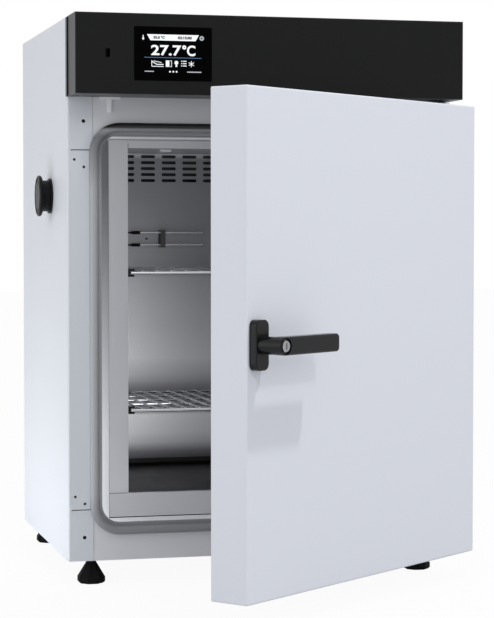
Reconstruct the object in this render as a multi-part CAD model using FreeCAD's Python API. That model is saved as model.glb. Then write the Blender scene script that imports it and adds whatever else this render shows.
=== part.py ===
import FreeCAD, Part
import math
import os

# Laboratory oven, all lengths in millimetres.
# The cabinet is drawn with its front left bottom corner at zero, X to the right, Y to the back, Z up.
# The door is drawn closed and then swung open about its hinge axis.
# Every piece is last moved so that zero is on the floor, under the middle of the cabinet.

# Cabinet body
BODY_W = 590.0
BODY_D = 458.0
BODY_H = 805.0
SHEET = 1.2
FOLD_R = 3.0
POST_W = 38.0
POST_RETURN = 16.0
LIP = 14.0
SEAM = 0.5
FOOT_H = 36.0
MIDDLE = BODY_W / 2

# Fits and clearances
RUN_GAP = 0.05
HOLE_GAP = 0.3
SEAL_GAP = 0.3

# Control panel housing above the door
PANEL_H = 117.0
PANEL_Z = BODY_H - PANEL_H
PANEL_OUT = 75.0
PANEL_SHEET = 1.5
PANEL_EDGE_R = 2.0
PANEL_OVERLAP = 4.0

# Display and data socket in the control panel
DISPLAY_X = 85.8
DISPLAY_W = 115.1
DISPLAY_UP = 20.0
DISPLAY_Z = PANEL_Z + DISPLAY_UP
DISPLAY_H = 78.0
DISPLAY_RIM = 1.5
DISPLAY_ROOM = 0.3
DISPLAY_PROUD = 1.2
DISPLAY_DEEP = 14.0
BOARD_T = 1.6
BOARD_IN = 4.0
SPACER_L = 6.0
SPACER_R = 2.5
SPACER_IN = 9.0
CHIP_COUNT = 3
CHIP_PITCH = 28.0
CHIP_IN = 22.0
CHIP_W = 14.0
CHIP_H = 18.0
CHIP_T = 5.0
USB_X = 44.0
USB_W = 6.5
USB_UP = 52.6
USB_Z = PANEL_Z + USB_UP
USB_H = 12.6
USB_IN = 0.6
USB_DEEP = 16.0
USB_BACK = 2.0
USB_WALL = 0.5
USB_TONGUE_X = 1.2
USB_TONGUE_W = 1.7
USB_TONGUE_IN = 1.0

# Small tongue under the control panel
TAB_X = 48.0
TAB_W = 31.0
TAB_FLANGE = 3.6
TAB_DROP = 22.6
TAB_STEM_X = 10.2
TAB_STEM = 7.6
TAB_TAPER = 0.8
TAB_OUT = 5.0
TAB_T = 3.0

# Chamber, its mouth and the door seal
CHAMBER_X = 91.3
CHAMBER_FLOOR = 95.0
HEAD_H = 185.0
CHAMBER_TOP = BODY_H - HEAD_H
BACK_T = 42.0
CHAMBER_BACK = BODY_D - BACK_T
LINER = 1.0
STRIP_Y = 3.0
STRIP_T = 1.2
STRIP_SEAM = 1.0
LINER_FRONT = STRIP_Y + STRIP_T
MOUTH_X = 61.3
MOUTH_BOTTOM = 63.1
MOUTH_OVER = 6.0
MOUTH_TOP = CHAMBER_TOP + MOUTH_OVER
BOTTOM_STRIP_OVER = 4.0
BOTTOM_STRIP_TOP = CHAMBER_FLOOR + BOTTOM_STRIP_OVER
BOTTOM_STRIP_DEEP = 9.0
AIR_LIP_UNDER = 6.6
AIR_LIP_Z = CHAMBER_TOP - AIR_LIP_UNDER
AIR_LIP_DEEP = 12.0
SEAL_X = 32.7
SEAL_BOTTOM = 38.8
SEAL_OVER = 30.3
SEAL_TOP = CHAMBER_TOP + SEAL_OVER
SEAL_W = 12.5
SEAL_PROUD = 12.0
SEAL_ROUND = 5.6
SEAL_LIP = 5.5
SEAL_LIP_T = 1.8
SEAL_CORNER = 45.0
COLLAR_UNDER = 6.3
COLLAR_BOTTOM = SEAL_BOTTOM + COLLAR_UNDER
COLLAR_TOP = SEAL_TOP - COLLAR_UNDER
COLLAR_CORNER = SEAL_CORNER - COLLAR_UNDER
GUSSET = 28.0

# Rear baffle and its slots
BAFFLE_DEEP = 28.0
BAFFLE_Y = CHAMBER_BACK - BAFFLE_DEEP
BAFFLE_T = 1.2
BAFFLE_GAP = 12.0
SLOT_ROWS = 5
SLOT_W = 24.6
SLOT_H = 5.0
SLOT_PITCH_X = 35.7
SLOT_SHIFT = 12.9
SLOT_PITCH_Z = 10.0
SLOT_UNDER = 5.0
SLOT_TOP_Z = CHAMBER_TOP - SLOT_UNDER
SLOT_ROOM = MIDDLE - CHAMBER_X - BAFFLE_T - SLOT_W / 2 - SLOT_SHIFT
SLOT_COLUMNS = 2 * int(SLOT_ROOM / SLOT_PITCH_X) + 1

# Temperature probes in front of the baffle
PROBE_R = 1.85
PROBE_OUT = 15.0
PROBE_Y = BAFFLE_Y - PROBE_OUT
PROBE_X = 184.0
PROBE_L = 109.0
PROBE_Z = (487.4, 467.0)
BOOT_R = 2.7
BOOT_L = 13.0
BOOT_TAPER = 2.0
BOOT_LIP = 0.6
LEAD_R = 1.4
LEAD_BEND = 5.0
LEAD_RUN = 2.0
PROBE_CLIP_X = 218.0
PROBE_CLIP_W = 8.0
PROBE_CLIP_T = 1.2
PROBE_CLIP_OUT = 7.0
PROBE_CLIP_OVER = 4.3
BAFFLE_SCREW_X = 198.0
BAFFLE_SCREW_R = 2.0

# Small clip under the chamber's ceiling
CEILING_CLIP_X = 184.0
CEILING_CLIP_Y = 211.0
CEILING_CLIP_W = 19.0
CEILING_CLIP_L = 12.0
CEILING_CLIP_T = 4.0
CEILING_CLIP_R = 2.0

# Shelves and the clips they slide in
SHELF_Z = (221.0, 427.5)
SHELF_SIDE = 10.0
SHELF_FRONT = 20.0
SHELF_SHORT = 28.0
SHELF_BACK = BAFFLE_Y - SHELF_SHORT
FRAME_R = 2.4
WIRE_R = 1.5
WELD = 0.3
WIRE_COUNT = 17
WIRE_END = 14.5
CROSS_COUNT = 4
CROSS_FRONT = 46.0
CROSS_BACK = 76.0
CLIP_L = 16.0
CLIP_WALL = 3.0
CLIP_GAP = 0.4
CLIP_JAW = 4.5
CLIP_FRONT = 8.0
CLIP_BACK = 60.0
CLIP_YS = (SHELF_FRONT + CLIP_FRONT, SHELF_BACK - CLIP_BACK)

# Door, closed, and its hinge
DOOR_X = 5.7
DOOR_RIGHT_GAP = 6.0
DOOR_W = BODY_W - DOOR_RIGHT_GAP - DOOR_X
DOOR_FRONT = -PANEL_OUT
DOOR_T = 59.2
DOOR_Z = 1.5
DOOR_PANEL_GAP = 8.5
DOOR_TOP = PANEL_Z - DOOR_PANEL_GAP
DOOR_H = DOOR_TOP - DOOR_Z
DOOR_BACK = DOOR_FRONT + DOOR_T
DOOR_EDGE_R = 2.5
DOOR_SHEET = 1.2
LAND_INSET = 19.3
LAND_R = 20.0
HINGE_IN = 13.5
HINGE_X = BODY_W - HINGE_IN
HINGE_Y = -22.0
PIN_R = 3.5
PIN_L = 16.0
BUSH_R = 4.9
BUSH_L = 18.0
BUSH_END = 2.0
BUSH_FLANGE_R = 6.5
BUSH_FLANGE_T = 0.7
ARM_T = 3.0
ARM_R = 11.0
ARM_TOP_GAP = 2.5
ARM_LOW_GAP = 1.0
BRACKET_W = 30.0
BRACKET_H = 82.0
BRACKET_IN = 2.0
BRACKET_CORNER = 2.0
TONGUE_IN = 4.0
TONGUE_W = 20.0
TONGUE_DEEP = 4.0
HINGE_SCREW_L = 12.0
HINGE_SCREW_HEAD_R = 4.6
HINGE_SCREW_HEAD_T = 2.6
DOOR_OPEN_DEG = 38.87

# Holes and slots in the front posts, the same on both sides so that the door can hang on either
HINGE_HOLE_X = 24.4
HINGE_HOLE_LOW = 35.1
HINGE_HOLE_UNDER = 35.7
HINGE_HOLE_ZS = (HINGE_HOLE_LOW, PANEL_Z - HINGE_HOLE_UNDER)
HINGE_HOLE_R = 2.75
POST_HOLE_R = 2.0
SLOT_LOW_Z = 70.4
SLOT_LOW_H = 6.7
SLOT_HIGH_UNDER = 81.5
SLOT_HIGH_H = 4.1
SLOT_LOW = (SLOT_LOW_Z, SLOT_LOW_Z + SLOT_LOW_H)
SLOT_TOP = (PANEL_Z - SLOT_HIGH_UNDER, PANEL_Z - SLOT_HIGH_UNDER + SLOT_HIGH_H)
POST_SLOT = (5.2, 34.5)
SLOT_TAB_SET = 0.5
SLOT_TAB_SHORT = 1.4
SMALL_HOLE_XS = (10.6, 24.9)
SMALL_HOLE_FAR = (10.7, 19.2)
SMALL_HOLE_NEAR = (21.6, 8.3)
POST_HOLES = ((SMALL_HOLE_XS[0], SLOT_TOP[0] - SMALL_HOLE_FAR[0]),
              (SMALL_HOLE_XS[1], SLOT_TOP[0] - SMALL_HOLE_NEAR[0]),
              (SMALL_HOLE_XS[0], SLOT_LOW[1] + SMALL_HOLE_FAR[1]),
              (SMALL_HOLE_XS[1], SLOT_LOW[1] + SMALL_HOLE_NEAR[1]))

# Door handle
SPINDLE_X = 24.4
SPINDLE_OVER = 1.5
SPINDLE_Z = DOOR_Z + DOOR_H / 2 + SPINDLE_OVER
SPINDLE_R = 6.0
SPINDLE_GRIP = 12.0
BASE_W = 28.0
BASE_H = 66.6
BASE_T = 12.0
BASE_ROUND = 9.0
BASE_SOFT = 1.8
NECK_R = 11.85
LEVER_OUT = 50.0
LEVER_T = 14.0
LEVER_H = 24.4
LEVER_TIP = 122.0
LEVER_R = 6.0
LEVER_SOFT = 2.5
KEY_R = 7.8
KEY_EDGE = 0.8
KEY_RECESS_R = 11.0
KEY_DEEP = 3.0
KEY_L = 15.7
KEY_SLOT_W = 1.8
KEY_SLOT_H = 8.4
KEY_SLOT_DEEP = 5.0

# Lock case in the door
CASE_IN = 1.5
CASE_W = 43.6
CASE_H = 66.0
CASE_T = 25.8
CASE_WALL = 1.5
CASE_ROOM = 0.2
CAM_T = 8.0
CAM_W = 8.0
CAM_WALL = 3.0
CAM_REACH = 14.0
CAM_BACK = 4.0

# Side port
PORT_Y = 159.0
PORT_UNDER = 75.5
PORT_Z = CHAMBER_TOP - PORT_UNDER
PORT_TUBE_R = 21.5
PORT_BORE_R = 20.0
PORT_FLANGE_R = 27.0
PORT_FLANGE_T = 4.0
KNOB_R = 31.5
KNOB_OUT = 20.5
KNOB_T = 5.5
KNOB_NECK_R = 24.0
KNOB_GROOVE_R = 22.5
KNOB_GROOVE_W = 6.0
KNOB_GROOVE_DEEP = 1.4
KNOB_EDGE = 1.5
PLUG_EDGE = 2.0
FLANGE_EDGE = 1.0

# Fan, motor and heater behind the baffle
FAN_X = MIDDLE
FAN_LOWER = 12.5
FAN_Z = (CHAMBER_FLOOR + CHAMBER_TOP) / 2 - FAN_LOWER
FAN_R = 62.0
FAN_BEHIND = 6.0
FAN_Y = BAFFLE_Y + FAN_BEHIND
FAN_W = 15.0
FAN_PLATE = 1.5
HUB_R = 9.0
BLADE_COUNT = 10
BLADE_T = 1.4
BLADE_INNER = 38.0
BLADE_EDGE = 5.0
BLADE_LEAN = 28.0
SHAFT_R = 4.0
SHAFT_IN = 22.0
MOTOR_R = 36.0
MOTOR_L = 28.0
MOTOR_CAP = 5.0
MOTOR_CAP_R = 21.6
HEATER_R = 86.0
HEATER_TUBE_R = 4.0
HEATER_LEG = 14.0
HEATER_END = 14.0
HEATER_ROOM = 1.0
HEATER_BEHIND = 14.0
HEATER_Y = BAFFLE_Y + HEATER_BEHIND

# Feet and the thick pads they screw into
FOOT_X = 38.0
FOOT_Y = 23.0
FOOT_STUD_R = 5.0
STUD_TOP = 13.5
FOOT_SIDES = 8
FOOT_FLAT_R = 18.2
FOOT_RIM_R = 21.3
FOOT_RIM_LOW = 2.6
FOOT_RIM_H = 9.5
FOOT_NECK_R = 6.2
FOOT_NECK_GAP = 2.0
STUD_EDGE = 1.0
PAD_W = 44.0
PAD_L = 40.0
PAD_T = 8.0

# Rear cover and mains inlet
COVER_INSET = 1.5
LOUVRE_X = 120.0
LOUVRE_UNDER = 97.0
LOUVRE_Z = BODY_H - LOUVRE_UNDER
LOUVRE_COUNT = 8
LOUVRE_PITCH = 9.0
LOUVRE_W = 120.0
LOUVRE_H = 4.0
REAR_SCREW_X = 8.0
REAR_SCREW_R = 2.0
REAR_SCREW_HEAD_R = 3.5
REAR_SCREW_HEAD_T = 1.8
REAR_SCREW_END = 25.0
REAR_SCREW_ROWS = 4
INLET_W = 27.0
INLET_H = 20.0
INLET_FROM_RIGHT = 90.0
INLET_X = BODY_W - INLET_FROM_RIGHT
INLET_UNDER = 39.5
INLET_Z = DOOR_TOP - INLET_UNDER
INLET_DEEP = 18.0
INLET_RIM = 4.0
INLET_PROUD = 2.5
INLET_ROUND = 3.0
INLET_ROOM = 0.2
INLET_WALL = 2.0
INLET_FLOOR = 3.0
CONTACT_W = 2.0
CONTACT_H = 5.0
CONTACT_SHORT = 3.0
CONTACTS = ((-7.0, 0.0), (7.0, 0.0), (0.0, 4.0))

# Electronics above the chamber
DECK_OVER = 2.0
DECK_Z = PANEL_Z + DECK_OVER
SUPPLY_W = 110.0
SUPPLY_L = 80.0
SUPPLY_H = 38.0
SUPPLY_FROM_RIGHT = 210.0
SUPPLY_X = BODY_W - SUPPLY_FROM_RIGHT
SUPPLY_FROM_BACK = 158.0
SUPPLY_Y = BODY_D - SUPPLY_FROM_BACK
SUPPLY_CORNER = 2.0
TERMINAL_IN = 8.0
TERMINAL_L = 10.0
TERMINAL_H = 14.0
VENT_COUNT = 9
VENT_PITCH = 10.0
VENT_W = 4.0
VENT_IN = 10.0
VENT_DEEP = 1.5

# Directions
OUT_Y = FreeCAD.Vector(0, -1, 0)
UP = FreeCAD.Vector(0, 0, 1)
BACK = FreeCAD.Vector(0, 1, 0)
RIGHT = FreeCAD.Vector(1, 0, 0)


def vec(x, y, z):
    return FreeCAD.Vector(x, y, z)


def block(x0, y0, z0, x1, y1, z1):
    return Part.makeBox(x1 - x0, y1 - y0, z1 - z0, vec(x0, y0, z0))


def rod(start, end, radius):
    along = end.sub(start)
    return Part.makeCylinder(radius, along.Length, start, along)


def mirrored(shape):
    """The same shape on the other side of the cabinet's middle."""
    return shape.mirror(vec(MIDDLE, 0, 0), RIGHT)


def outline(points, z0, height):
    """A closed outline seen from above, raised to a solid."""
    loop = [vec(x, y, z0) for x, y in points]
    loop.append(loop[0])
    return Part.Face(Part.makePolygon(loop)).extrude(vec(0, 0, height))


def side_outline(points, y0, depth):
    """A closed outline seen from the front, given as x and z, pushed back to a solid."""
    loop = [vec(x, y0, z) for x, z in points]
    loop.append(loop[0])
    return Part.Face(Part.makePolygon(loop)).extrude(vec(0, depth, 0))


def edges_along(shape, direction):
    """The straight edges of a shape that run along one direction."""
    found = []
    for edge in shape.Edges:
        ends = edge.Vertexes
        if len(ends) != 2:
            continue
        way = ends[1].Point.sub(ends[0].Point)
        if way.Length > 1e-6 and abs(abs(way.normalize().dot(direction)) - 1) < 1e-6:
            found.append(edge)
    return found


def rounded_block(x0, y0, z0, x1, y1, z1, radius, direction):
    """A block whose four edges along one direction are round."""
    body = block(x0, y0, z0, x1, y1, z1)
    return body.makeFillet(radius, edges_along(body, direction))


def ring_plate(outer, inner, y0, y1):
    """A standing ring between two outlines, each given as x0, z0, x1, z1 and corner radius."""
    x0, z0, x1, z1, radius = outer
    solid = rounded_block(x0, y0, z0, x1, y1, z1, radius, BACK)
    x0, z0, x1, z1, radius = inner
    if radius > 0:
        return solid.cut(rounded_block(x0, y0 - 1, z0, x1, y1 + 1, z1, radius, BACK))
    return solid.cut(block(x0, y0 - 1, z0, x1, y1 + 1, z1))


def slot_cutter(x, y, z, width, height, depth):
    """A bar with round ends that cuts one level slot through a standing sheet."""
    radius = height / 2
    return rounded_block(x - width / 2, y, z - radius, x + width / 2, y + depth, z + radius,
                         radius * 0.98, BACK)


def turned(profile, start, direction):
    """A round piece from (distance along the axis, radius) pairs, standing at start."""
    points = [vec(radius, 0, along) for along, radius in profile]
    points.append(points[0])
    solid = Part.Face(Part.makePolygon(points)).revolve(vec(0, 0, 0), UP, 360)
    turn = FreeCAD.Rotation(UP, direction)
    solid.Placement = FreeCAD.Placement(start, turn)
    return solid


def screw(head_centre, direction, shank_r, length, head_r, head_t):
    """A round-headed screw; direction points from the head into the work."""
    back = vec(-direction.x, -direction.y, -direction.z)
    shank = Part.makeCylinder(shank_r, length, head_centre, direction)
    head = Part.makeCylinder(head_r, head_t, head_centre, back)
    slot_at = head_centre + back * (head_t - 0.6)
    drive = Part.makeCylinder(head_r * 0.45, 2, slot_at, back)
    return shank.fuse(head).cut(drive)


# The folded cabinet sheets

def upright_edge(shape, x, y):
    """The upright edges of a shape that stand at one place."""
    return [edge for edge in edges_along(shape, UP)
            if abs(edge.Vertexes[0].Point.x - x) < 0.01
            and abs(edge.Vertexes[0].Point.y - y) < 0.01]


def folded_side():
    """Left side: front return, post, rounded front fold, side and rear fold in one sheet."""
    rear = BODY_D - SHEET
    solid = outline([(0, 0), (POST_W, 0), (POST_W, POST_RETURN), (POST_W - SHEET, POST_RETURN),
                     (POST_W - SHEET, SHEET), (SHEET, SHEET), (SHEET, rear - SHEET),
                     (LIP, rear - SHEET), (LIP, rear), (0, rear)], 0, BODY_H - SHEET)
    solid = solid.makeFillet(FOLD_R, upright_edge(solid, 0, 0))
    return solid.makeFillet(FOLD_R - SHEET, upright_edge(solid, SHEET, SHEET))


def post_cuts(sheet):
    """Hinge holes, small screw holes and pressed slots, the same on both posts."""
    for z in HINGE_HOLE_ZS:
        sheet = sheet.cut(rod(vec(HINGE_HOLE_X, -1, z), vec(HINGE_HOLE_X, 2 * SHEET, z), HINGE_HOLE_R))
    for x, z in POST_HOLES:
        sheet = sheet.cut(rod(vec(x, -1, z), vec(x, 2 * SHEET, z), POST_HOLE_R))
    for low, high in (SLOT_TOP, SLOT_LOW):
        sheet = sheet.cut(block(POST_SLOT[0], -1, low, POST_SLOT[1], 2 * SHEET, high))
    return sheet


def left_side_panel():
    """The unused slots in this post are closed by tabs that leave a shadow line along the top."""
    port = rod(vec(-1, PORT_Y, PORT_Z), vec(2 * SHEET, PORT_Y, PORT_Z), PORT_TUBE_R)
    tabs = []
    for low, high in (SLOT_TOP, SLOT_LOW):
        tabs.append(block(POST_SLOT[0], SLOT_TAB_SET, low, POST_SLOT[1], SLOT_TAB_SET + SHEET,
                          high - SLOT_TAB_SHORT))
    return post_cuts(folded_side()).cut(port).fuse(tabs).removeSplitter()


def right_side_panel():
    return mirrored(post_cuts(folded_side()))


def top_cover():
    plate = block(0, 0, BODY_H - SHEET, BODY_W, BODY_D, BODY_H)
    plate = plate.makeFillet(FOLD_R, upright_edge(plate, 0, 0) + upright_edge(plate, BODY_W, 0))
    inner = BODY_H - SHEET - LIP
    lip = block(SHEET, 2 * POST_RETURN, inner, 2 * SHEET, BODY_D - 2 * POST_RETURN, BODY_H - SHEET)
    return plate.fuse([lip, mirrored(lip)]).removeSplitter()


def foot_places():
    """Where the four feet stand, seen from above."""
    places = []
    for x in (FOOT_X, BODY_W - FOOT_X):
        for y in (FOOT_Y, BODY_D - FOOT_Y):
            places.append((x, y))
    return places


def base_plate():
    """A tray with upturned edges and a thick threaded pad over each foot."""
    rear = BODY_D - 2 * SHEET
    tray = block(SHEET, SHEET, 0, BODY_W - SHEET, rear, LIP)
    tray = tray.cut(block(2 * SHEET, 2 * SHEET, SHEET, BODY_W - 2 * SHEET, rear - SHEET, LIP + 1))
    for x, y in foot_places():
        pad = block(x - PAD_W / 2, y - PAD_L / 2, SHEET, x + PAD_W / 2, y + PAD_L / 2, SHEET + PAD_T)
        tray = tray.fuse(pad.common(block(2 * SHEET, 2 * SHEET, 0, BODY_W - 2 * SHEET, rear - SHEET, LIP)))
    for x, y in foot_places():
        tray = tray.cut(rod(vec(x, y, -1), vec(x, y, LIP), FOOT_STUD_R + RUN_GAP))
    side = folded_side()
    return tray.cut(side).cut(mirrored(side)).removeSplitter()


def collar_outline(grow):
    """The round-cornered field that the collar fills in the cabinet's front, with room round it."""
    return rounded_block(POST_W - grow, -1, COLLAR_BOTTOM - grow, BODY_W - POST_W + grow, STRIP_Y,
                         COLLAR_TOP + grow, COLLAR_CORNER + grow, BACK)


def top_front_rail():
    """The painted sheet above the mouth, reaching down beside the collar's round corners."""
    left, right = POST_W + SEAM, BODY_W - POST_W - SEAM
    plate = block(left, 0, COLLAR_TOP - GUSSET, right, SHEET, BODY_H - SHEET)
    lip = block(left, SHEET, BODY_H - 2 * SHEET, right, POST_RETURN, BODY_H - SHEET)
    return plate.cut(collar_outline(HOLE_GAP)).fuse(lip).removeSplitter()


def bottom_front_rail():
    """The painted sheet below the mouth, reaching up beside the collar's round corners."""
    left, right = POST_W + SEAM, BODY_W - POST_W - SEAM
    lip_left, lip_right = POST_W + COLLAR_CORNER, BODY_W - POST_W - COLLAR_CORNER
    plate = block(left, 0, 0, right, SHEET, COLLAR_BOTTOM + GUSSET)
    top = COLLAR_BOTTOM - HOLE_GAP
    lip = block(lip_left, SHEET, top - SHEET, lip_right, POST_RETURN, top)
    return plate.cut(collar_outline(HOLE_GAP)).fuse(lip).removeSplitter()


def louvre_places():
    """Rows of air slots in the rear cover, one set on each side."""
    places = []
    for side in (LOUVRE_X, BODY_W - LOUVRE_X):
        for step in range(LOUVRE_COUNT):
            places.append((side, LOUVRE_Z + step * LOUVRE_PITCH))
    return places


def rear_cover():
    y0 = BODY_D - SHEET
    plate = block(COVER_INSET, y0, COVER_INSET, BODY_W - COVER_INSET, BODY_D, BODY_H - SHEET)
    for x, z in louvre_places():
        plate = plate.cut(slot_cutter(x, y0 - 1, z, LOUVRE_W, LOUVRE_H, 2 * SHEET))
    plate = plate.cut(block(INLET_X, y0 - 1, INLET_Z, INLET_X + INLET_W, BODY_D + 1, INLET_Z + INLET_H))
    for x, z in rear_screw_places():
        plate = plate.cut(rod(vec(x, y0 - 1, z), vec(x, BODY_D + 1, z), REAR_SCREW_R))
    return plate


def rear_screw_places():
    """Evenly spaced screws down both sides of the rear cover."""
    pitch = (BODY_H - SHEET - 2 * REAR_SCREW_END) / (REAR_SCREW_ROWS - 1)
    places = []
    for x in (REAR_SCREW_X, BODY_W - REAR_SCREW_X):
        for row in range(REAR_SCREW_ROWS):
            places.append((x, REAR_SCREW_END + row * pitch))
    return places


def rear_screws():
    """The cover's screws, seated in their holes with the heads outside."""
    out = []
    for x, z in rear_screw_places():
        out.append(screw(vec(x, BODY_D, z), OUT_Y, REAR_SCREW_R - RUN_GAP, SHEET,
                         REAR_SCREW_HEAD_R, REAR_SCREW_HEAD_T))
    return Part.makeCompound(out)


def mains_inlet():
    """A three-pin inlet with its recess facing the back and its flange on the cover."""
    right, top = INLET_X + INLET_W, INLET_Z + INLET_H
    front = BODY_D - INLET_DEEP
    flange = rounded_block(INLET_X - INLET_RIM, BODY_D, INLET_Z - INLET_RIM, right + INLET_RIM,
                           BODY_D + INLET_PROUD, top + INLET_RIM, INLET_ROUND, BACK)
    body = block(INLET_X + INLET_ROOM, front, INLET_Z + INLET_ROOM, right - INLET_ROOM, BODY_D,
                 top - INLET_ROOM)
    recess = block(INLET_X + INLET_WALL, front + INLET_FLOOR, INLET_Z + INLET_WALL, right - INLET_WALL,
                   BODY_D + 2 * INLET_PROUD, top - INLET_WALL)
    solid = flange.fuse(body).cut(recess)
    for dx, dz in CONTACTS:
        x = INLET_X + (INLET_W - CONTACT_W) / 2 + dx
        z = INLET_Z + (INLET_H - CONTACT_H) / 2 + dz
        solid = solid.fuse(block(x, front + INLET_FLOOR / 2, z, x + CONTACT_W, BODY_D - CONTACT_SHORT,
                                 z + CONTACT_H))
    return solid.removeSplitter()


# Control panel

def control_panel_shell():
    """The dark housing: a box open at the back, with thin ears over the cabinet's sides."""
    body = block(0, -PANEL_OUT, PANEL_Z, BODY_W, 0, BODY_H)
    front_edges = [edge for edge in body.Edges
                   if all(abs(point.Point.y + PANEL_OUT) < 0.01 for point in edge.Vertexes)]
    body = body.makeFillet(PANEL_EDGE_R, front_edges)
    inside = block(PANEL_SHEET, -PANEL_OUT + PANEL_SHEET, PANEL_Z + PANEL_SHEET,
                   BODY_W - PANEL_SHEET, 1, BODY_H - PANEL_SHEET)
    ear = block(-PANEL_SHEET, -PANEL_OVERLAP * 2, PANEL_Z, 0, PANEL_OVERLAP, BODY_H - SHEET)
    body = body.cut(inside).fuse([ear, mirrored(ear)])
    body = body.cut(block(DISPLAY_X + DISPLAY_RIM, -PANEL_OUT - 1, DISPLAY_Z + DISPLAY_RIM,
                          DISPLAY_X + DISPLAY_W - DISPLAY_RIM, -PANEL_OUT + PANEL_SHEET + 1,
                          DISPLAY_Z + DISPLAY_H - DISPLAY_RIM))
    body = body.cut(block(USB_X, -PANEL_OUT - 1, USB_Z, USB_X + USB_W,
                          -PANEL_OUT + PANEL_SHEET + 1, USB_Z + USB_H))
    return body.removeSplitter()


def display_glass():
    """The black front glass with its rim, standing a little proud of the housing."""
    y0 = -PANEL_OUT - DISPLAY_PROUD
    return rounded_block(DISPLAY_X, y0, DISPLAY_Z, DISPLAY_X + DISPLAY_W, -PANEL_OUT,
                         DISPLAY_Z + DISPLAY_H, DISPLAY_RIM, BACK)


def display_module():
    edge = DISPLAY_RIM + DISPLAY_ROOM
    return block(DISPLAY_X + edge, -PANEL_OUT, DISPLAY_Z + edge, DISPLAY_X + DISPLAY_W - edge,
                 -PANEL_OUT + DISPLAY_DEEP, DISPLAY_Z + DISPLAY_H - edge)


def controller_board():
    """The board behind the display, on four spacers, with a few parts on it."""
    y0 = -PANEL_OUT + DISPLAY_DEEP
    y1 = y0 + SPACER_L
    right = DISPLAY_X + DISPLAY_W
    top = DISPLAY_Z + DISPLAY_H
    board = block(DISPLAY_X + BOARD_IN, y1, DISPLAY_Z + BOARD_IN, right - BOARD_IN, y1 + BOARD_T,
                  top - BOARD_IN)
    for x in (DISPLAY_X + SPACER_IN, right - SPACER_IN):
        for z in (DISPLAY_Z + SPACER_IN, top - SPACER_IN):
            board = board.fuse(rod(vec(x, y0, z), vec(x, y1, z), SPACER_R))
    z = (DISPLAY_Z + top - CHIP_H) / 2
    for step in range(CHIP_COUNT):
        x = DISPLAY_X + CHIP_IN + CHIP_PITCH * step
        board = board.fuse(block(x, y1 + BOARD_T, z, x + CHIP_W, y1 + BOARD_T + CHIP_T, z + CHIP_H))
    return board.removeSplitter()


def usb_socket():
    """Metal shell with the contact tongue inside it."""
    y0 = -PANEL_OUT + USB_IN
    right, top = USB_X + USB_W, USB_Z + USB_H
    shell = block(USB_X, y0, USB_Z, right, y0 + USB_DEEP, top)
    shell = shell.cut(block(USB_X + USB_WALL, y0 - 1, USB_Z + USB_WALL, right - USB_WALL,
                            y0 + USB_DEEP - USB_BACK, top - USB_WALL))
    tongue = block(USB_X + USB_TONGUE_X, y0 + USB_TONGUE_IN, USB_Z + USB_TONGUE_IN,
                   USB_X + USB_TONGUE_X + USB_TONGUE_W, y0 + USB_DEEP - USB_BACK / 2, top - USB_TONGUE_IN)
    return shell.fuse(tongue)


def door_sensor_tab():
    """The small T-shaped tongue under the control panel."""
    top, low, shoulder = PANEL_Z, PANEL_Z - TAB_DROP, PANEL_Z - TAB_FLANGE
    left = TAB_X + TAB_STEM_X
    right = left + TAB_STEM
    points = [(TAB_X, top), (TAB_X, shoulder), (left, shoulder), (left + TAB_TAPER, low),
              (right - TAB_TAPER, low), (right, shoulder), (TAB_X + TAB_W, shoulder), (TAB_X + TAB_W, top)]
    return side_outline(points, -TAB_OUT, TAB_T)


# Chamber mouth

def collar_ring():
    """The steel ring between the seal and the chamber mouth, with its edge turned inwards."""
    plate = collar_outline(0).common(block(0, 0, 0, BODY_W, SHEET, BODY_H))
    lip = block(MOUTH_X - SHEET, SHEET, MOUTH_BOTTOM - SHEET, BODY_W - MOUTH_X + SHEET, LINER_FRONT,
                MOUTH_TOP + SHEET)
    mouth = block(MOUTH_X, -1, MOUTH_BOTTOM, BODY_W - MOUTH_X, LINER_FRONT + 1, MOUTH_TOP)
    return plate.fuse(lip).cut(mouth).removeSplitter()


def cabinet_gasket():
    """The grey seal: a thick rounded ring with a thin lip on its inner side."""
    right = BODY_W - SEAL_X
    outer = (SEAL_X, SEAL_BOTTOM, right, SEAL_TOP, SEAL_CORNER)
    inner = (SEAL_X + SEAL_W, SEAL_BOTTOM + SEAL_W, right - SEAL_W, SEAL_TOP - SEAL_W,
             SEAL_CORNER - SEAL_W)
    ring = ring_plate(outer, inner, -SEAL_PROUD, 0)
    front = [edge for edge in ring.Edges
             if all(abs(point.Point.y + SEAL_PROUD) < 0.01 for point in edge.Vertexes)]
    ring = ring.makeFillet(SEAL_ROUND, front)
    reach = SEAL_W + SEAL_LIP
    outside = (SEAL_X + SEAL_W / 2, SEAL_BOTTOM + SEAL_W / 2, right - SEAL_W / 2,
               SEAL_TOP - SEAL_W / 2, SEAL_CORNER - SEAL_W / 2)
    inside = (SEAL_X + reach, SEAL_BOTTOM + reach, right - reach, SEAL_TOP - reach,
              SEAL_CORNER - reach)
    return ring.fuse(ring_plate(outside, inside, -SEAL_LIP_T, 0)).removeSplitter()


def left_frame_strip():
    """A flat strip on the liner's flange, with a shadow line between it and its neighbours."""
    return block(MOUTH_X + STRIP_SEAM, STRIP_Y, BOTTOM_STRIP_TOP + STRIP_SEAM, CHAMBER_X,
                 STRIP_Y + STRIP_T, MOUTH_TOP - STRIP_SEAM)


def right_frame_strip():
    return mirrored(left_frame_strip())


def bottom_frame_strip():
    """The strip below the mouth, with its top edge turned back over the chamber floor."""
    left = MOUTH_X + STRIP_SEAM
    face = block(left, STRIP_Y, MOUTH_BOTTOM + STRIP_SEAM, BODY_W - left, STRIP_Y + STRIP_T,
                 BOTTOM_STRIP_TOP)
    edge = block(CHAMBER_X, STRIP_Y + STRIP_T, BOTTOM_STRIP_TOP - STRIP_T, BODY_W - CHAMBER_X,
                 STRIP_Y + BOTTOM_STRIP_DEEP, BOTTOM_STRIP_TOP)
    return face.fuse(edge).removeSplitter()


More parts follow.
